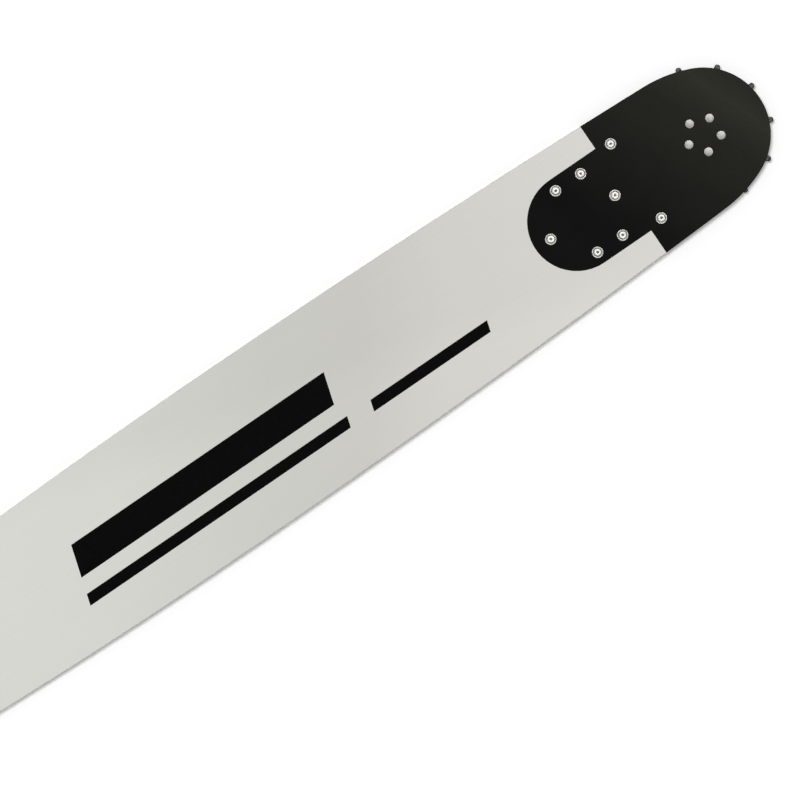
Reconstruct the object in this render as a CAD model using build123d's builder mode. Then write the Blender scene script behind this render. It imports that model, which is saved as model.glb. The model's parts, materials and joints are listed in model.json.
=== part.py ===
from build123d import *
import math
import os

# Chainsaw guide bar with a riveted sprocket nose. It lies on its side: +X runs along the bar
# to the nose, +Y across it and +Z up through its thickness. The origin is on the surface that
# it lies on, at the middle of its length and width. All sizes are millimetres.

# Chain that runs round the bar
chain_pitch = 9.525
rail_drop = 4.86  # from the chain's rivet line down to the rails

# Bar outline
overall_length = 550.0  # tail end to the sprocket's tip circle
crest_from_nose = 248.0  # nose centre back to the widest place
shoulder_behind_sprocket = 10.8  # sprocket's tip circle back to the shoulders
shoulder_rise = 3.9  # half-width gained from the nose to the shoulders
crest_rise = 4.1  # half-width gained from the shoulders to the widest place
nose_blend_radius = 60.0  # between the nose and the long sides
tail_width = 48.0
tail_corner_radius = 9.0

# Bar section
bar_thickness = 4.8
groove_width = 1.65
groove_depth = 9.0
edge_chamfer = 0.3

# Tail
stud_slot_width = 12.2
stud_slot_length = 70.0
stud_slot_from_tail = 13.0
tensioner_hole_diameter = 8.4
tensioner_hole_spacing = 26.0
tensioner_hole_from_tail = 62.0
oil_hole_diameter = 4.2
oil_hole_from_tail = 30.0

# Nose plates
tongue_length = 45.0  # shoulders to the tongue's rounded end
tongue_wall = 2.55  # between the tongue's pocket and the groove's floor
seat_gap = 0.1  # between a plate's edge and the bar

# Tip rivets, through the plates and the bar's web
tip_rivet_diameter = 4.9
front_rivet_ahead = 6.5  # ahead of the shoulders
front_rivet_edge = 4.15  # in from the groove's floor
neck_rivet_behind = 4.3  # behind the shoulders
side_rivet_edge = 5.15  # in from the tongue's sides
side_rivet_pitch = 12.9
end_rivet_edge = 7.65  # in from the tongue's end

# Fit of all the rivets
rivet_proud = 0.25
rivet_clearance = 0.03

# Sprocket
tooth_count = 11
tooth_reach = 1.9  # beyond the plates' rim
tooth_tip_width = 2.0  # across the tip circle, before its corners are rounded
tooth_tip_round = 0.9
gullet_radius = 5.0
gullet_depth = 9.95
first_tooth_angle = 11.2  # degrees from +X
sprocket_side_gap = 0.08
web_gap = 1.0  # sprocket's tip circle to the bar's web
web_tip_round = 1.5

# Bearing
bearing_rivet_count = 5
bearing_rivet_circle = 15.0
bearing_rivet_diameter = 3.7
race_edge = 3.0  # race beyond the rivet circle
roller_diameter = 4.0
roller_clearance = 0.03
roller_spacing = 0.05  # least gap between neighbours
roller_side_gap = 0.05

# Places and sizes that follow from these
chain_rivet_radius = chain_pitch / (2 * math.sin(math.pi / (2 * tooth_count)))
nose_radius = chain_rivet_radius - rail_drop
tip_radius = nose_radius + tooth_reach
shoulder_half = nose_radius + shoulder_rise
crest_half = shoulder_half + crest_rise

tail_x = -overall_length / 2
nose_x = overall_length / 2 - tip_radius
shoulder_x = nose_x - tip_radius - shoulder_behind_sprocket
crest_x = nose_x - crest_from_nose

mid_z = rivet_proud + bar_thickness / 2
mid_plane = Plane.XY.offset(mid_z)
nose_plane = Plane((nose_x, 0, mid_z))
plate_thickness = (bar_thickness - groove_width) / 2


def arc_radius(run, drop):
    """Radius of an arc that starts level and falls by drop over run."""
    return (run**2 + drop**2) / (2 * drop)


# Long sides: an arc from the crest to the nose, and a rounder one from the crest to the tail
side_radius = arc_radius(crest_x - shoulder_x, crest_rise)
side_centre = Vector(crest_x, crest_half - side_radius)
tail_radius = arc_radius(crest_x - tail_x, crest_half - tail_width / 2)
tail_centre = Vector(crest_x, crest_half - tail_radius)

# Blend between the side and the nose, tangent to both from inside
nose_centre = Vector(nose_x, 0)
nose_to_side = side_centre - nose_centre
nose_arm = nose_blend_radius - nose_radius
side_arm = side_radius - nose_blend_radius
blend_lean = math.degrees(
    math.acos(
        (nose_arm**2 + nose_to_side.length**2 - side_arm**2)
        / (2 * nose_arm * nose_to_side.length)
    )
)
blend_centre = nose_centre + nose_to_side.normalized().rotate(Axis.Z, -blend_lean) * nose_arm
nose_start_direction = (nose_centre - blend_centre).normalized()
side_end_direction = (blend_centre - side_centre).normalized()


def arc_height(centre, radius, x):
    """Height at x of an arc's upper half."""
    return centre.Y + math.sqrt(radius**2 - (x - centre.X) ** 2)


def bar_profile(inset=0.0, overrun=0.0):
    """Outline of the whole bar, drawn in by inset along its rails and run on past the tail."""
    tail_end = tail_x - overrun
    crest = (crest_x, crest_half - inset)
    tail_corner = (tail_end, arc_height(tail_centre, tail_radius - inset, tail_end))
    side_end = side_centre + side_end_direction * (side_radius - inset)
    nose_start = nose_centre + nose_start_direction * (nose_radius - inset)
    nose_tip = nose_centre + Vector(nose_radius - inset, 0)
    with BuildSketch() as profile:
        with BuildLine():
            Line((tail_end, 0), tail_corner)
            TangentArc(crest, tail_corner, tangent=(-1, 0))
            side = TangentArc(crest, side_end, tangent=(1, 0))
            blend = TangentArc(side_end, nose_start, tangent=side % 1)
            TangentArc(nose_start, nose_tip, tangent=blend % 1)
            mirror(about=Plane.XZ)
        make_face()
    return profile.sketch


# Tongue of the nose plates, and the rivets placed by it and by the shoulders
tongue_half = shoulder_half - groove_depth - tongue_wall
tongue_centre_x = shoulder_x - tongue_length + tongue_half


def tongue_outline(growth=0.0):
    """Tongue from its rounded end forward to the nose, grown by growth on all sides."""
    with BuildSketch() as tongue:
        with Locations((tongue_centre_x, 0)):
            Circle(tongue_half + growth)
            Rectangle(
                nose_x - tongue_centre_x,
                2 * (tongue_half + growth),
                align=(Align.MIN, Align.CENTER),
            )
    return tongue.sketch


front_rivet_x = shoulder_x + front_rivet_ahead
front_rivet_y = arc_height(side_centre, side_radius, front_rivet_x) - groove_depth - front_rivet_edge
side_rivet_y = tongue_half - side_rivet_edge
tip_rivet_places = [
    (front_rivet_x, front_rivet_y),
    (front_rivet_x, -front_rivet_y),
    (shoulder_x - neck_rivet_behind, 0),
    (tongue_centre_x + side_rivet_pitch, side_rivet_y),
    (tongue_centre_x + side_rivet_pitch, -side_rivet_y),
    (tongue_centre_x, side_rivet_y),
    (tongue_centre_x, -side_rivet_y),
    (shoulder_x - tongue_length + end_rivet_edge, 0),
]
tip_rivet_hole_radius = tip_rivet_diameter / 2 + rivet_clearance
bearing_rivet_hole_radius = bearing_rivet_diameter / 2 + rivet_clearance
bearing_rivet_start = 180 / bearing_rivet_count

os.makedirs("parts", exist_ok=True)

# Bar: a plate blank up to the shoulders, grooved along its edges
with BuildPart() as bar_body:
    with BuildSketch(mid_plane) as blank:
        add(bar_profile())
        with Locations((shoulder_x, 0)):
            Rectangle(
                overall_length,
                2 * crest_half,
                align=(Align.MAX, Align.CENTER),
                mode=Mode.INTERSECT,
            )
        fillet(blank.vertices().group_by(Axis.X)[0], tail_corner_radius)
    extrude(amount=bar_thickness / 2, both=True)
    flat_faces = bar_body.faces().filter_by(Axis.Z)
    chamfer(flat_faces.edges().group_by(Axis.X)[:-1], edge_chamfer)

    with BuildSketch(mid_plane):
        with Locations((shoulder_x, 0)):
            Rectangle(overall_length, 3 * crest_half, align=(Align.MAX, Align.CENTER))
        add(bar_profile(groove_depth, overrun=groove_depth), mode=Mode.SUBTRACT)
    extrude(amount=groove_width / 2, both=True, mode=Mode.SUBTRACT)

    # Pockets for the tongues of the nose plates, one in each face
    for side in (1, -1):
        with BuildSketch(mid_plane.offset(side * groove_width / 2)):
            add(tongue_outline(seat_gap))
        extrude(amount=side * plate_thickness, mode=Mode.SUBTRACT)

    # Web that runs on between the nose plates, hollowed round the sprocket
    with BuildSketch(mid_plane) as web:
        add(bar_profile(groove_depth))
        with Locations((shoulder_x - web_gap, 0)):
            Rectangle(
                overall_length,
                2 * crest_half,
                align=(Align.MIN, Align.CENTER),
                mode=Mode.INTERSECT,
            )
        with Locations((nose_x, 0)):
            Circle(tip_radius + web_gap, mode=Mode.SUBTRACT)
        fillet(web.vertices().group_by(Axis.X)[-1], web_tip_round)
    extrude(amount=groove_width / 2, both=True)

    with Locations(*[(x, y, mid_z) for x, y in tip_rivet_places]):
        Hole(tip_rivet_hole_radius)

    # Tail: stud slot, tensioner holes and oil holes that open into the groove
    with BuildSketch(mid_plane):
        with Locations((tail_x + stud_slot_from_tail + stud_slot_length / 2, 0)):
            SlotOverall(stud_slot_length, stud_slot_width)
    extrude(amount=bar_thickness, both=True, mode=Mode.SUBTRACT)
    with Locations((tail_x + tensioner_hole_from_tail, 0, mid_z)):
        with GridLocations(0, tensioner_hole_spacing, 1, 2):
            Hole(tensioner_hole_diameter / 2)
    oil_hole_x = tail_x + oil_hole_from_tail
    oil_hole_y = arc_height(tail_centre, tail_radius - groove_depth, oil_hole_x)
    with Locations((oil_hole_x, oil_hole_y, mid_z), (oil_hole_x, -oil_hole_y, mid_z)):
        Hole(oil_hole_diameter / 2)
bar_body.part.label = "bar_body"
export_step(bar_body.part, "parts/bar_body.step")

# Nose plates: the nose's outline ahead of the shoulders, with the tongue behind
with BuildPart() as nose_plate_front:
    with BuildSketch(mid_plane.offset(groove_width / 2)):
        add(bar_profile())
        with Locations((shoulder_x + seat_gap, 0)):
            Rectangle(
                overall_length,
                2 * crest_half,
                align=(Align.MIN, Align.CENTER),
                mode=Mode.INTERSECT,
            )
        add(tongue_outline())
    extrude(amount=plate_thickness)
    outer_face = nose_plate_front.faces().sort_by(Axis.Z)[-1]
    rim = outer_face.edges().filter_by(GeomType.CIRCLE).filter_by(lambda edge: edge.center().X > shoulder_x)
    chamfer(rim, edge_chamfer)
    with Locations(*[(x, y, mid_z) for x, y in tip_rivet_places]):
        Hole(tip_rivet_hole_radius)
    with Locations(nose_plane):
        with PolarLocations(bearing_rivet_circle / 2, bearing_rivet_count, bearing_rivet_start):
            Hole(bearing_rivet_hole_radius)
nose_plate_front.part.label = "nose_plate_front"
export_step(nose_plate_front.part, "parts/nose_plate_front.step")

with BuildPart() as nose_plate_back:
    mirror(nose_plate_front.part, about=mid_plane)
nose_plate_back.part.label = "nose_plate_back"
export_step(nose_plate_back.part, "parts/nose_plate_back.step")

# Bearing: a round race riveted between the plates, with a full ring of loose rollers
race_radius = bearing_rivet_circle / 2 + race_edge
with BuildPart() as bearing_race:
    with BuildSketch(nose_plane):
        Circle(race_radius)
        with PolarLocations(bearing_rivet_circle / 2, bearing_rivet_count, bearing_rivet_start):
            Circle(bearing_rivet_hole_radius, mode=Mode.SUBTRACT)
    extrude(amount=groove_width / 2, both=True)
bearing_race.part.label = "bearing_race"
export_step(bearing_race.part, "parts/bearing_race.step")

roller_circle_radius = race_radius + roller_clearance + roller_diameter / 2
roller_step = 2 * math.asin((roller_diameter + roller_spacing) / (2 * roller_circle_radius))
roller_count = math.floor(2 * math.pi / roller_step)
for number in range(1, roller_count + 1):
    turn = Rotation(0, 0, 360 * number / roller_count)
    roller_centre = nose_plane * turn * Location((roller_circle_radius, 0, 0))
    with BuildPart() as bearing_roller:
        with BuildSketch(Plane(roller_centre.position)):
            Circle(roller_diameter / 2)
        extrude(amount=groove_width / 2 - roller_side_gap, both=True)
    bearing_roller.part.label = f"bearing_roller_{number:02d}"
    export_step(bearing_roller.part, f"parts/bearing_roller_{number:02d}.step")

# Sprocket: a star of narrow teeth, with round gullets for the chain's drive links. The gullets
# flare so that their flanks meet the tip circle a tooth's width apart.
bore_radius = roller_circle_radius + roller_diameter / 2 + roller_clearance
gullet_circle_radius = tip_radius - gullet_depth + gullet_radius
tooth_angle = 360 / tooth_count
tip_half_angle = math.asin(tooth_tip_width / (2 * tip_radius))
corner_angle = math.radians(tooth_angle / 2) - tip_half_angle  # gullet's middle to a tooth's corner
corner = Vector(
    tip_radius * math.cos(corner_angle) - gullet_circle_radius,
    tip_radius * math.sin(corner_angle),
)
flare = math.atan2(corner.Y, corner.X) - math.asin(gullet_radius / corner.length)
mouth_half = gullet_radius / math.cos(flare) + gullet_depth * math.tan(flare)
with BuildSketch() as gullet:
    Circle(gullet_radius)
    with BuildLine():
        Line((gullet_depth, -mouth_half), (gullet_depth, mouth_half))
    make_hull()

with BuildPart() as nose_sprocket:
    with BuildSketch(nose_plane) as star:
        Circle(tip_radius)
        with PolarLocations(gullet_circle_radius, tooth_count, first_tooth_angle + tooth_angle / 2):
            add(gullet.sketch, mode=Mode.SUBTRACT)
        fillet(star.vertices().group_by(SortBy.DISTANCE, tol_digits=3)[-1], tooth_tip_round)
        Circle(bore_radius, mode=Mode.SUBTRACT)
    extrude(amount=groove_width / 2 - sprocket_side_gap, both=True)
nose_sprocket.part.label = "nose_sprocket"
export_step(nose_sprocket.part, "parts/nose_sprocket.step")

# Rivets, set at both ends so that they stand a little proud of the faces
rivet_length = bar_thickness + 2 * rivet_proud
with BuildPart() as tip_rivets:
    with BuildSketch(Plane.XY):
        with Locations(*tip_rivet_places):
            Circle(tip_rivet_diameter / 2)
    extrude(amount=rivet_length)
tip_rivets.part.label = "tip_rivets"
export_step(tip_rivets.part, "parts/tip_rivets.step")

with BuildPart() as bearing_rivets:
    with BuildSketch(Plane((nose_x, 0, 0))):
        with PolarLocations(bearing_rivet_circle / 2, bearing_rivet_count, bearing_rivet_start):
            Circle(bearing_rivet_diameter / 2)
    extrude(amount=rivet_length)
bearing_rivets.part.label = "bearing_rivets"
export_step(bearing_rivets.part, "parts/bearing_rivets.step")
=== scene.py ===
import json
import math

import bpy
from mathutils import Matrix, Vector


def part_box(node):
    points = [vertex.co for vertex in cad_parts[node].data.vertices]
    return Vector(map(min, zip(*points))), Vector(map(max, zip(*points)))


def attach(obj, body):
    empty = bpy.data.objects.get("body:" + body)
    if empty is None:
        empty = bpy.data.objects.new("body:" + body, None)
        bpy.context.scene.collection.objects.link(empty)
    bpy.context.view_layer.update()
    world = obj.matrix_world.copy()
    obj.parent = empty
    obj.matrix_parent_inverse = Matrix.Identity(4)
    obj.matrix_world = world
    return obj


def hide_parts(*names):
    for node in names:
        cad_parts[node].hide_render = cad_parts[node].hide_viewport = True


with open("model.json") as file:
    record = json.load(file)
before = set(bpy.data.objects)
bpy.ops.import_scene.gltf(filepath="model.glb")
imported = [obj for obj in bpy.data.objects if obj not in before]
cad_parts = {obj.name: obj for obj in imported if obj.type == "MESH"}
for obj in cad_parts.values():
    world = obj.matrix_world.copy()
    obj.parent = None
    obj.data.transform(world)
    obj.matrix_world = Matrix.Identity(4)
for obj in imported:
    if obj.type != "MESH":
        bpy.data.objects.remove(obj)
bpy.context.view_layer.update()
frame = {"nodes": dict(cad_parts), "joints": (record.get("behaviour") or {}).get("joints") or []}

# Bar: one long blank of hardened steel plate, ground flat and sprayed with a pale satin lacquer.
# The chain groove and the rails beside it are milled after spraying, so they are bare steel, as are
# the walls of the slot and the holes at the tail. Three plain black stripes are printed on one face.
mm = 0.001
bar_low, bar_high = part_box("bar_body")
bar_mid_z = (bar_low.z + bar_high.z) / 2
lacquer_lap = 0.32 * mm  # how far the lacquer reaches down the edges, just over the chamfers
bare_half = (bar_high.z - bar_low.z) / 2 - lacquer_lap

stripe_slant = 0.3  # how far the stripes' ends lean towards the nose, against their height
stripes = [  # tail end, nose end, lower side, upper side
    (-78 * mm, 52 * mm, -6 * mm, 8 * mm),
    (-78 * mm, 56 * mm, -18 * mm, -13 * mm),
    (68 * mm, 128 * mm, -18 * mm, -13 * mm),
]

tone_slant = 0.6  # how far the lacquer's tone slants across the bar
tone_start = -110 * mm
tone_end = 210 * mm
# The lacquer's own grey, with a band of painted shade over the middle of the bar.
lacquer_and_painted_shade_tones = [  # share of the way from the tone's start to its end, colour
    (0.0, "#dcdcd6"),
    (0.16, "#d9d9d3"),
    (0.41, "#cdcdc6"),
    (0.56, "#cbcac4"),
    (0.69, "#d3d2cb"),
    (1.0, "#d9d8d2"),
]
painted_shade_slant = 0.25  # the painted shade lies over the upper side, and the nearer the nose the further down
painted_shade_start = 6 * mm
painted_shade_full = 24 * mm
painted_shade_depth = 0.945  # how bright the lacquer is under the full painted shade
cloud_size = 45 * mm  # patches where the lacquer lies a little thicker
cloud_change = 0.04  # how much brighter it is in the palest patch than in the darkest
grind_width = 0.6 * mm
grind_length = 30 * mm
grind_change = 0.06  # how much brighter it is on the palest line than on the darkest
peel_size = 1.4 * mm
peel_depth = 0.02 * mm
cutter_width = 0.25 * mm
cutter_length = 12 * mm
noise_low = 0.3  # nearly all of a noise lies above this
noise_high = 0.7  # and below this


def linear(hex_colour):
    """Linear RGBA of an sRGB colour written as #rrggbb."""
    shares = [int(hex_colour[at:at + 2], 16) / 255 for at in (1, 3, 5)]
    return [s / 12.92 if s <= 0.04045 else ((s + 0.055) / 1.055) ** 2.4 for s in shares] + [1.0]


def add_node(tree, kind, inputs=None, stops=(), curve=(), **settings):
    """Add a node with its settings and links.

    inputs go by name or number, and each takes a value, a socket or another node. stops are a colour
    ramp's places and hex colours, and curve is a float curve's points."""
    node = tree.nodes.new(kind)
    for name, value in settings.items():
        setattr(node, name, value)
    for number, (position, hex_colour) in enumerate(stops):
        elements = node.color_ramp.elements
        element = elements[number] if number < len(elements) else elements.new(position)
        element.position = position
        element.color = linear(hex_colour)
    if curve:
        points = node.mapping.curves[0].points
        while len(points) < len(curve):
            points.new(1.0, 1.0)
        for point, place in zip(points, curve):
            point.location = place
        node.mapping.update()
    for name, value in (inputs or {}).items():
        named = [socket for socket in node.inputs if socket.enabled and socket.name == name]
        socket = named[0] if named else node.inputs[name]
        if isinstance(value, bpy.types.Node):
            value = next(output for output in value.outputs if output.enabled)
        if isinstance(value, bpy.types.NodeSocket):
            tree.links.new(value, socket)
        else:
            socket.default_value = value
    return node


def start_material(name):
    """A new material, its tree and its Object coordinates."""
    material = bpy.data.materials.new(name)
    material.use_nodes = True
    material.node_tree.nodes.clear()
    place = add_node(material.node_tree, "ShaderNodeTexCoord").outputs["Object"]
    return material, material.node_tree, place


def give_finish(name, material):
    """Give a CAD node its finish."""
    for slot in frame["nodes"][name].material_slots:
        slot.material = material


# Satin lacquer over ground steel: an even, pale, slightly warm grey with a soft gloss. It is a shade
# deeper in a broad slanting band over the middle of the bar and in a patch along the upper side, and
# both are painted shade.
# Faint grinding lines show through, and the sprayed skin has a slight orange peel, both drawn coarser
# than they are so that they show.
lacquer, tree, place = start_material("satin_lacquer_on_ground_steel")
axes = add_node(tree, "ShaderNodeSeparateXYZ", {"Vector": place}).outputs
slanting = add_node(
    tree, "ShaderNodeMath", {0: axes["Y"], 1: -tone_slant, 2: axes["X"]}, operation="MULTIPLY_ADD"
)
along = add_node(
    tree, "ShaderNodeMapRange", {"Value": slanting, "From Min": tone_start, "From Max": tone_end}
)
# Painted shade: the tones are deeper in a broad band over the middle of the bar.
tone = add_node(tree, "ShaderNodeValToRGB", {"Fac": along}, stops=lacquer_and_painted_shade_tones)
cloud = add_node(tree, "ShaderNodeTexNoise", {"Vector": place, "Scale": 1 / cloud_size})
line_shape = grind_width / grind_length
drawn_out = add_node(tree, "ShaderNodeMapping", {"Vector": place, "Scale": (line_shape, 1, 1)})
grind = add_node(tree, "ShaderNodeTexNoise", {"Vector": drawn_out, "Scale": 1 / grind_width})
darkest = 1 - (grind_change + cloud_change) / 2
streaks = add_node(
    tree, "ShaderNodeMath", {0: grind, 1: grind_change, 2: darkest}, operation="MULTIPLY_ADD"
)
clouded = add_node(
    tree, "ShaderNodeMath", {0: cloud, 1: cloud_change, 2: streaks}, operation="MULTIPLY_ADD"
)
# Painted shade: a darker patch along the upper side, further down the nearer the nose.
aside = add_node(
    tree, "ShaderNodeMath", {0: axes["X"], 1: painted_shade_slant, 2: axes["Y"]}, operation="MULTIPLY_ADD"
)
painted_shade_patch = add_node(
    tree,
    "ShaderNodeMapRange",
    {"Value": aside, "From Min": painted_shade_start, "From Max": painted_shade_full, "To Min": 1.0, "To Max": painted_shade_depth},
)
shade = add_node(tree, "ShaderNodeMath", {0: clouded, 1: painted_shade_patch}, operation="MULTIPLY")
coat_colour = add_node(
    tree,
    "ShaderNodeMix",
    {"Factor": 1.0, "A": tone, "B": shade},
    data_type="RGBA",
    blend_type="MULTIPLY",
)
coat_rough = add_node(tree, "ShaderNodeMapRange", {"Value": cloud, "To Min": 0.36, "To Max": 0.46})
peel = add_node(tree, "ShaderNodeTexNoise", {"Vector": place, "Scale": 1 / peel_size})
coat_bump = add_node(tree, "ShaderNodeBump", {"Height": peel, "Strength": 0.12, "Distance": peel_depth})
coat = add_node(
    tree,
    "ShaderNodeBsdfPrincipled",
    {"Base Color": coat_colour, "Roughness": coat_rough, "Normal": coat_bump},
)

# Screen-printed ink: a thin, dead-flat black that follows the lacquer's skin and varies a little
# with the depth of the print.
ink_colour = add_node(
    tree, "ShaderNodeValToRGB", {"Fac": peel}, stops=[(noise_low, "#020202"), (noise_high, "#060606")]
)
ink = add_node(
    tree,
    "ShaderNodeBsdfPrincipled",
    {"Base Color": ink_colour, "Roughness": 0.6, "Specular IOR Level": 0.03, "Normal": coat_bump},
)
lean = add_node(
    tree, "ShaderNodeMath", {0: axes["Y"], 1: -stripe_slant, 2: axes["X"]}, operation="MULTIPLY_ADD"
)
inked = 0.0
for tail_end, nose_end, lower, upper in stripes:
    in_length = add_node(
        tree,
        "ShaderNodeMath",
        {0: lean, 1: (tail_end + nose_end) / 2, 2: (nose_end - tail_end) / 2},
        operation="COMPARE",
    )
    in_height = add_node(
        tree,
        "ShaderNodeMath",
        {0: axes["Y"], 1: (lower + upper) / 2, 2: (upper - lower) / 2},
        operation="COMPARE",
    )
    inked = add_node(
        tree, "ShaderNodeMath", {0: in_length, 1: in_height, 2: inked}, operation="MULTIPLY_ADD"
    )
on_face = add_node(tree, "ShaderNodeMath", {0: axes["Z"], 1: bar_mid_z}, operation="GREATER_THAN")
printed = add_node(tree, "ShaderNodeMath", {0: inked, 1: on_face}, operation="MULTIPLY")
face = add_node(tree, "ShaderNodeMixShader", {0: printed, 1: coat, 2: ink})

# Milled steel of the rails and the groove: cool grey metal with fine cutter lines along the edge,
# drawn wider than they are so that they show.
line_shape = cutter_width / cutter_length
drawn_out = add_node(
    tree, "ShaderNodeMapping", {"Vector": place, "Scale": (line_shape, line_shape, 1)}
)
cutter = add_node(tree, "ShaderNodeTexNoise", {"Vector": drawn_out, "Scale": 1 / cutter_width})
rail_colour = add_node(
    tree, "ShaderNodeValToRGB", {"Fac": cutter}, stops=[(noise_low, "#8d8c88"), (noise_high, "#b1b0ab")]
)
rail_rough = add_node(tree, "ShaderNodeMapRange", {"Value": cutter, "To Min": 0.28, "To Max": 0.42})
rail = add_node(
    tree,
    "ShaderNodeBsdfPrincipled",
    {"Base Color": rail_colour, "Roughness": rail_rough, "Metallic": 1.0},
)
bare = add_node(
    tree, "ShaderNodeMath", {0: axes["Z"], 1: bar_mid_z, 2: bare_half}, operation="COMPARE"
)
surface = add_node(tree, "ShaderNodeMixShader", {0: bare, 1: face, 2: rail})
add_node(tree, "ShaderNodeOutputMaterial", {"Surface": surface})
give_finish("bar_body", lacquer)

# Nose plates: two plates stamped from spring steel, each with a rounded tongue that is let into the
# bar's face and riveted through its web. They are blackened all over, and they are the walls of the
# groove round the nose.
plate_low, plate_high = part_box("nose_plate_front")
plate_slant = 0.4  # how far the plate's tone slants across the bar
# The plate's own black, with a painted sheen: palest near the nose, dimmer again at its very tip.
plate_tones_and_painted_sheen = [  # share of the way from the plate's tongue to the nose, colour
    (0.0, "#040404"),
    (0.25, "#020202"),
    (0.45, "#11110f"),
    (0.66, "#1c1c17"),
    (0.78, "#1f1f1a"),
    (0.92, "#2d2d26"),
    (1.0, "#252520"),
]
plate_grain = 0.6 * mm
plate_grain_depth = 0.01 * mm
plate_grain_change = 0.3  # how much brighter or darker the grain can be than the plate's tone
plate_cloud = 12 * mm  # patches of uneven gloss

# Blackened spring steel: a deep matt black with a fine dry grain. A painted sheen pales it to
# charcoal towards the nose and dims it a little again at its tip. The grain is drawn coarser than it
# is so that it shows.
blackened, tree, place = start_material("blackened_spring_steel")
axes = add_node(tree, "ShaderNodeSeparateXYZ", {"Vector": place}).outputs
slanting = add_node(
    tree, "ShaderNodeMath", {0: axes["Y"], 1: plate_slant, 2: axes["X"]}, operation="MULTIPLY_ADD"
)
along = add_node(
    tree,
    "ShaderNodeMapRange",
    {"Value": slanting, "From Min": plate_low.x, "From Max": plate_high.x},
)
# Painted sheen: the black pales towards the nose.
tone = add_node(tree, "ShaderNodeValToRGB", {"Fac": along}, stops=plate_tones_and_painted_sheen)
grain = add_node(tree, "ShaderNodeTexNoise", {"Vector": place, "Scale": 1 / plate_grain})
shade = add_node(
    tree,
    "ShaderNodeMapRange",
    {"Value": grain, "To Min": 1 - plate_grain_change, "To Max": 1 + plate_grain_change},
)
plate_colour = add_node(
    tree,
    "ShaderNodeMix",
    {"Factor": 1.0, "A": tone, "B": shade},
    data_type="RGBA",
    blend_type="MULTIPLY",
)
cloud = add_node(tree, "ShaderNodeTexNoise", {"Vector": place, "Scale": 1 / plate_cloud})
plate_rough = add_node(tree, "ShaderNodeMapRange", {"Value": cloud, "To Min": 0.5, "To Max": 0.62})
plate_bump = add_node(
    tree, "ShaderNodeBump", {"Height": grain, "Strength": 0.15, "Distance": plate_grain_depth}
)
surface = add_node(
    tree,
    "ShaderNodeBsdfPrincipled",
    {
        "Base Color": plate_colour,
        "Roughness": plate_rough,
        "Specular IOR Level": 0.05,
        "Normal": plate_bump,
    },
)
add_node(tree, "ShaderNodeOutputMaterial", {"Surface": surface})
for name in ("nose_plate_front", "nose_plate_back"):
    give_finish(name, blackened)

# Sprocket: an eleven-tooth star stamped from tool steel and hardened, running between the nose
# plates. Only the tips of its teeth stand out of the groove.
sprocket_low, sprocket_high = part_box("nose_sprocket")
sprocket_mid_z = (sprocket_low.z + sprocket_high.z) / 2
dark_face_reach = 0.05 * mm  # how far the faces' dark colour reaches over the edges
edge_half = (sprocket_high.z - sprocket_low.z) / 2 - dark_face_reach
blotch_size = 1.2 * mm
blotch_low = 0.35  # the noise at which the steel is darkest
blotch_high = 0.65  # and at which it is palest
tumbled_edge = 0.6 * mm

# Hardened tool steel: the sheet's faces are dark and blotched, partly the skin of the quench and
# partly painted shade for the plates that close round the teeth, and the stamped edges of the teeth
# are ground to bare grey metal. Tumbling has rounded every edge a little, drawn wider than it is so
# that it shows.
hardened, tree, place = start_material("hardened_tool_steel")
blotch = add_node(tree, "ShaderNodeTexNoise", {"Vector": place, "Scale": 1 / blotch_size})
# Partly painted shade: the faces' dark stands in for the shade of the plates round the teeth.
skin_and_painted_shade_colour = add_node(
    tree,
    "ShaderNodeValToRGB",
    {"Fac": blotch},
    stops=[(blotch_low, "#171615"), (blotch_high, "#343331")],
)
edge_colour = add_node(
    tree,
    "ShaderNodeValToRGB",
    {"Fac": blotch},
    stops=[(blotch_low, "#7c7b76"), (blotch_high, "#a3a29d")],
)
height = add_node(tree, "ShaderNodeSeparateXYZ", {"Vector": place}).outputs["Z"]
on_edge = add_node(
    tree, "ShaderNodeMath", {0: height, 1: sprocket_mid_z, 2: edge_half}, operation="COMPARE"
)
tooth_colour = add_node(
    tree,
    "ShaderNodeMix",
    {"Factor": on_edge, "A": skin_and_painted_shade_colour, "B": edge_colour},
    data_type="RGBA",
)
tooth_rough = add_node(tree, "ShaderNodeMapRange", {"Value": blotch, "To Min": 0.25, "To Max": 0.4})
tumbled = add_node(tree, "ShaderNodeBevel", {"Radius": tumbled_edge}, samples=8)
surface = add_node(
    tree,
    "ShaderNodeBsdfPrincipled",
    {"Base Color": tooth_colour, "Roughness": tooth_rough, "Metallic": 1.0, "Normal": tumbled},
)
add_node(tree, "ShaderNodeOutputMaterial", {"Surface": surface})
give_finish("nose_sprocket", hardened)

# Bearing: a round race riveted between the plates, and the loose rollers that the sprocket turns on.
# They are bearing steel, hardened and finely ground.
bearing_line_width = 0.3 * mm
bearing_line_length = 3 * mm

# Ground bearing steel: a clean bright metal with fine lines round its rim, drawn wider than they are.
ground, tree, place = start_material("ground_bearing_steel")
line_shape = bearing_line_width / bearing_line_length
drawn_out = add_node(
    tree, "ShaderNodeMapping", {"Vector": place, "Scale": (line_shape, line_shape, 1)}
)
lines = add_node(tree, "ShaderNodeTexNoise", {"Vector": drawn_out, "Scale": 1 / bearing_line_width})
bearing_colour = add_node(
    tree, "ShaderNodeValToRGB", {"Fac": lines}, stops=[(noise_low, "#b4b4b2"), (noise_high, "#c8c8c6")]
)
bearing_rough = add_node(tree, "ShaderNodeMapRange", {"Value": lines, "To Min": 0.15, "To Max": 0.25})
surface = add_node(
    tree,
    "ShaderNodeBsdfPrincipled",
    {"Base Color": bearing_colour, "Roughness": bearing_rough, "Metallic": 1.0},
)
add_node(tree, "ShaderNodeOutputMaterial", {"Surface": surface})
for name in frame["nodes"]:
    if name == "bearing_race" or name.startswith("bearing_roller"):
        give_finish(name, ground)

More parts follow.
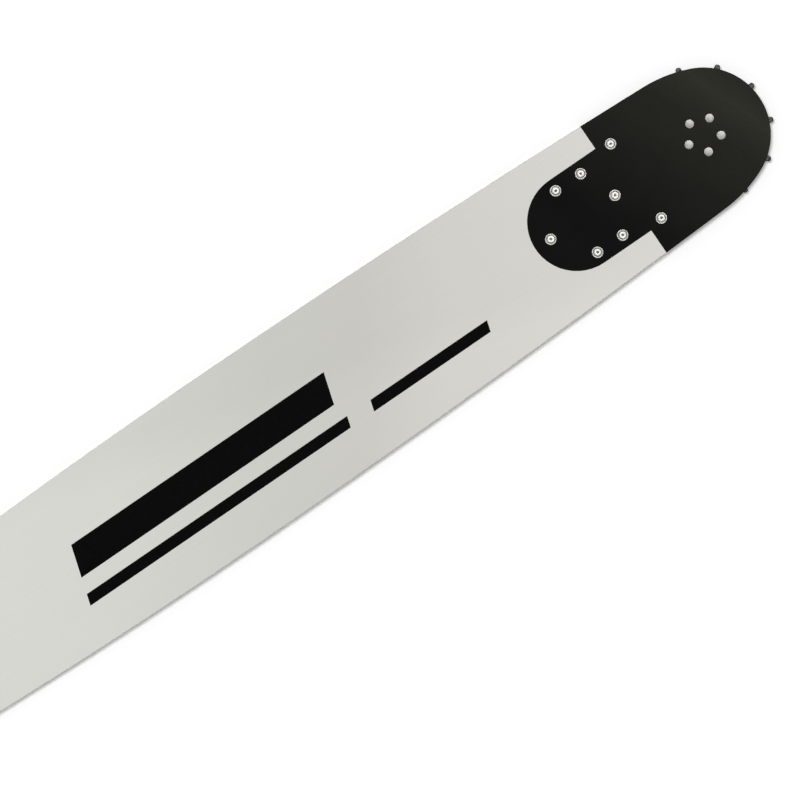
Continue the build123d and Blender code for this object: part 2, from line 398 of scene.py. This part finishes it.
# Tip rivets: eight rivets of mild steel that hold the nose plates to the bar's web. Each end is set
# by a ring punch, which leaves a wide boss with a small dimple, a groove round it and a thin rim.
tip_rivet_relief = 0.4 * mm
tip_rivet_section = [  # share of the radius out from the middle, share of the relief
    (0.0, 0.1),
    (0.1, 0.15),
    (0.2, 0.9),
    (0.32, 1.0),
    (0.56, 0.95),
    (0.65, 0.65),
    (0.7, 0.35),
    (0.75, 0.4),
    (0.82, 0.85),
    (0.95, 0.85),
    (1.0, 0.6),
]
# Painted shade: the dimple is dark and the groove grey, in the hollows of the punched end.
tip_rivet_tones_and_painted_shade = [  # share of the radius out from the middle, colour
    (0.0, "#3c3b37"),
    (0.13, "#82817d"),
    (0.25, "#b0b0ac"),
    (0.58, "#b4b4b0"),
    (0.68, "#84837f"),
    (0.75, "#84837f"),
    (0.82, "#a8a7a3"),
    (1.0, "#b0afab"),
]
rivet_sides = 64
rivet_rings = 24  # across each end, from the middle to the rim
rivet_reach = 5 * mm  # more than a rivet's diameter, less than the distance between two
rivet_mottle = 1.0 * mm


def rivet_places(node_name):
    """Middle and size of each rivet of a CAD node, found by gathering the corners that lie together."""
    groups = []
    for vertex in frame["nodes"][node_name].data.vertices:
        near = [group for group in groups if (vertex.co.xy - group[0].xy).length < rivet_reach]
        if near:
            near[0].append(vertex.co)
        else:
            groups.append([vertex.co])
    places = []
    for group in groups:
        low = Vector(min(corner[axis] for corner in group) for axis in range(3))
        high = Vector(max(corner[axis] for corner in group) for axis in range(3))
        places.append(((low + high) / 2, high - low))
    return places


def rivet_tree(name, section):
    """Node tree that sets a rivet on every point, both of its ends shaped by a section."""
    tree = bpy.data.node_groups.new(name, "GeometryNodeTree")
    for label, kind in (
        ("Geometry", "NodeSocketGeometry"),
        ("Diameter", "NodeSocketFloat"),
        ("Length", "NodeSocketFloat"),
        ("Relief", "NodeSocketFloat"),
        ("Material", "NodeSocketMaterial"),
    ):
        tree.interface.new_socket(label, in_out="INPUT", socket_type=kind)
    tree.interface.new_socket("Geometry", in_out="OUTPUT", socket_type="NodeSocketGeometry")
    given = add_node(tree, "NodeGroupInput").outputs
    radius = add_node(tree, "ShaderNodeMath", {0: given["Diameter"], 1: 2.0}, operation="DIVIDE")
    blank = add_node(
        tree,
        "GeometryNodeMeshCylinder",
        {
            "Vertices": rivet_sides,
            "Side Segments": 1,
            "Fill Segments": rivet_rings,
            "Radius": radius,
            "Depth": given["Length"],
        },
    )
    spot = add_node(tree, "GeometryNodeInputPosition")
    flat = add_node(tree, "ShaderNodeVectorMath", {0: spot, 1: (1, 1, 0)}, operation="MULTIPLY")
    out = add_node(tree, "ShaderNodeVectorMath", {0: flat}, operation="LENGTH")
    share = add_node(tree, "ShaderNodeMath", {0: out, 1: radius}, operation="DIVIDE")
    marked = add_node(
        tree,
        "GeometryNodeStoreNamedAttribute",
        {"Geometry": blank, "Name": "from_centre", "Value": share},
        data_type="FLOAT",
        domain="POINT",
    )
    shape = add_node(tree, "ShaderNodeFloatCurve", {"Value": share}, curve=section)
    below = add_node(tree, "ShaderNodeMath", {0: shape, 1: 1.0}, operation="SUBTRACT")
    sink = add_node(tree, "ShaderNodeMath", {0: below, 1: given["Relief"]}, operation="MULTIPLY")
    height = add_node(tree, "ShaderNodeSeparateXYZ", {"Vector": spot}).outputs["Z"]
    side = add_node(tree, "ShaderNodeMath", {0: height}, operation="SIGN")
    inward = add_node(tree, "ShaderNodeMath", {0: sink, 1: side}, operation="MULTIPLY")
    move = add_node(tree, "ShaderNodeCombineXYZ", {"Z": inward})
    formed = add_node(tree, "GeometryNodeSetPosition", {"Geometry": marked, "Offset": move})
    smooth = add_node(tree, "GeometryNodeSetShadeSmooth", {"Geometry": formed})
    set_out = add_node(
        tree, "GeometryNodeInstanceOnPoints", {"Points": given["Geometry"], "Instance": smooth}
    )
    real = add_node(tree, "GeometryNodeRealizeInstances", {"Geometry": set_out})
    finished = add_node(
        tree, "GeometryNodeSetMaterial", {"Geometry": real, "Material": given["Material"]}
    )
    add_node(tree, "NodeGroupOutput", {"Geometry": finished})
    return tree


def set_rivets(node_name, section, relief, material):
    """Rivets in place of a CAD node's plain pins, as one plain mesh that rides on the bar."""
    places = rivet_places(node_name)
    size = places[0][1]
    mesh = bpy.data.meshes.new(node_name + "_set")
    mesh.from_pydata([place for place, _ in places], [], [])
    rivets = bpy.data.objects.new(node_name + "_set", mesh)
    bpy.context.scene.collection.objects.link(rivets)
    tree = rivet_tree(node_name + "_tree", section)
    modifier = rivets.modifiers.new("rivets", "NODES")
    modifier.node_group = tree
    given = {"Diameter": size.x, "Length": size.z, "Relief": relief, "Material": material}
    for item in tree.interface.items_tree:
        if item.in_out == "INPUT" and item.name in given:
            modifier[item.identifier] = given[item.name]
    evaluated = rivets.evaluated_get(bpy.context.evaluated_depsgraph_get())
    formed = bpy.data.meshes.new_from_object(evaluated)
    rivets.modifiers.clear()
    rivets.data = formed
    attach(rivets, "bar")
    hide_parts(node_name)


def rivet_steel(name, tones, change, roughness):
    """Bare steel with tones from a rivet's middle to its rim, mottled brighter and darker by a share."""
    material, tree, place = start_material(name)
    across = add_node(tree, "ShaderNodeAttribute", attribute_name="from_centre").outputs["Fac"]
    tone = add_node(tree, "ShaderNodeValToRGB", {"Fac": across}, stops=tones)
    mottle = add_node(tree, "ShaderNodeTexNoise", {"Vector": place, "Scale": 1 / rivet_mottle})
    uneven = add_node(
        tree,
        "ShaderNodeMapRange",
        {
            "Value": mottle,
            "From Min": noise_low,
            "From Max": noise_high,
            "To Min": 1 - change,
            "To Max": 1 + change,
        },
    )
    colour = add_node(
        tree,
        "ShaderNodeMix",
        {"Factor": 1.0, "A": tone, "B": uneven},
        data_type="RGBA",
        blend_type="MULTIPLY",
    )
    smoothest, roughest = roughness
    rough = add_node(
        tree, "ShaderNodeMapRange", {"Value": mottle, "To Min": smoothest, "To Max": roughest}
    )
    surface = add_node(
        tree,
        "ShaderNodeBsdfPrincipled",
        {"Base Color": colour, "Roughness": rough, "Metallic": 1.0},
    )
    add_node(tree, "ShaderNodeOutputMaterial", {"Surface": surface})
    return material


# Punched mild steel: bright on the boss and the rim, which the punch pressed flat, with painted shade
# that greys the groove and darkens the dimple. Every blow lands a little differently, so the metal is
# mottled and no two ends are quite alike.
punched = rivet_steel("punched_mild_steel", tip_rivet_tones_and_painted_shade, change=0.25, roughness=(0.4, 0.6))
set_rivets("tip_rivets", tip_rivet_section, tip_rivet_relief, punched)

# Bearing rivets: five smaller rivets of mild steel that hold the race between the plates. Their ends
# are set to plain low domes.
bearing_rivet_relief = 0.18 * mm
bearing_rivet_section = [(0.0, 1.0), (0.3, 0.93), (0.6, 0.7), (0.85, 0.38), (1.0, 0.1)]
bearing_rivet_tones = [(0.0, "#8d8c89"), (0.85, "#92918d"), (1.0, "#a8a7a3")]

# Domed mild steel: an even, dull grey, mottled less than the punched ends and a little paler towards
# the rim.
domed = rivet_steel("domed_mild_steel", bearing_rivet_tones, change=0.2, roughness=(0.45, 0.6))
set_rivets("bearing_rivets", bearing_rivet_section, bearing_rivet_relief, domed)

# Table: a plain sheet of white card that the bar lies on. It is so wide that its edge is lost in the
# white of the room.
table_half = 30.0  # metres
card_glow = 0.23  # how bright the card is of its own, against white

mesh = bpy.data.meshes.new("table")
mesh.from_pydata(
    [(x * table_half, y * table_half, 0) for x, y in ((-1, -1), (1, -1), (1, 1), (-1, 1))],
    [],
    [(0, 1, 2, 3)],
)
table = bpy.data.objects.new("table", mesh)
bpy.context.scene.collection.objects.link(table)


def seen_rays(tree):
    """Node that gives 1 for the eye, reflections and glass, and 0 for the light that falls on things."""
    rays = add_node(tree, "ShaderNodeLightPath").outputs
    seen = rays["Is Camera Ray"]
    for kind in ("Is Glossy Ray", "Is Transmission Ray"):
        seen = add_node(tree, "ShaderNodeMath", {0: seen, 1: rays[kind]}, operation="MAXIMUM")
    return seen


# White card: a dull white sheet, with just enough of its own glow, to the eye and in reflections,
# that it is white where it is lit and still takes a shadow.
card, tree, _ = start_material("white_card")
glow_strength = add_node(
    tree, "ShaderNodeMath", {0: seen_rays(tree), 1: card_glow}, operation="MULTIPLY"
)
glow = add_node(tree, "ShaderNodeEmission", {"Strength": glow_strength})
sheet = add_node(tree, "ShaderNodeBsdfDiffuse", {"Color": linear("#f1f1f1")})
surface = add_node(tree, "ShaderNodeAddShader", {0: sheet, 1: glow})
add_node(tree, "ShaderNodeOutputMaterial", {"Surface": surface})
table.data.materials.append(card)

# Room: plain white walls with a darker ceiling, as the eye and the metal see them. They light the bar
# evenly from all round.
light_around = 0.37  # how bright the room is as a light, against white
ceiling = 0.3  # how bright the room is overhead, against its white walls
wall_top = 0.35  # sine of the angle at which the walls start to darken

room = bpy.data.worlds.new("white_room")
room.use_nodes = True
tree = room.node_tree
tree.nodes.clear()
toward = add_node(tree, "ShaderNodeTexCoord").outputs["Generated"]
up = add_node(tree, "ShaderNodeSeparateXYZ", {"Vector": toward}).outputs["Z"]
wall = add_node(
    tree, "ShaderNodeMapRange", {"Value": up, "From Min": wall_top, "To Min": 1.0, "To Max": ceiling}
)
strength = add_node(tree, "ShaderNodeMix", {"Factor": seen_rays(tree), "A": light_around, "B": wall})
sky = add_node(tree, "ShaderNodeBackground", {"Strength": strength})
add_node(tree, "ShaderNodeOutputWorld", {"Surface": sky})
bpy.context.scene.world = room

# Lamps: two broad lamps high up beyond the bar's upper edge. One casts the shadow, a thin line along
# the lower edge and round the nose, and the other shows in reflections alone.
lamp_spread = math.radians(20)
lamps = [  # name, light on a flat white sheet, azimuth, elevation, whether it is in reflections alone
    ("shadow_lamp", 0.6, math.radians(110), math.radians(74.5), False),
    ("gloss_lamp", 0.6, math.radians(40), math.radians(73), True),
]
for name, light, azimuth, elevation, in_reflections in lamps:
    lamp = bpy.data.objects.new(name, bpy.data.lights.new(name, "SUN"))
    lamp.data.energy = light * math.pi / math.sin(elevation)
    lamp.data.angle = lamp_spread
    lamp.visible_diffuse = not in_reflections
    lamp.visible_glossy = in_reflections
    toward_lamp = Vector((
        math.cos(azimuth) * math.cos(elevation),
        math.sin(azimuth) * math.cos(elevation),
        math.sin(elevation),
    ))
    lamp.rotation_euler = toward_lamp.to_track_quat("Z", "Y").to_euler()
    bpy.context.scene.collection.objects.link(lamp)

# Camera: straight above the nose half of the bar, turned so that the bar rises to the right and its
# tail runs out of the picture.
picture_width = 339.8 * mm  # across the picture at the bar's face
camera_back = 170.05 * mm  # from the nose's centre towards the tail
camera_aside = -20.14 * mm
bar_rise = math.radians(34.4)
long_lens = 200.0  # millimetres
spin = next(joint for joint in frame["joints"] if joint["name"] == "sprocket_spin")
nose_centre = Vector(spin["pos_m"])
camera = bpy.data.objects.new("camera", bpy.data.cameras.new("camera"))
camera.data.lens = long_lens
camera_height = picture_width * long_lens / camera.data.sensor_width
camera.location = (nose_centre.x - camera_back, camera_aside, bar_high.z + camera_height)
camera.rotation_euler = (0, 0, -bar_rise)
bpy.context.scene.collection.objects.link(camera)
bpy.context.scene.camera = camera
bpy.context.scene.view_settings.view_transform = "Standard"
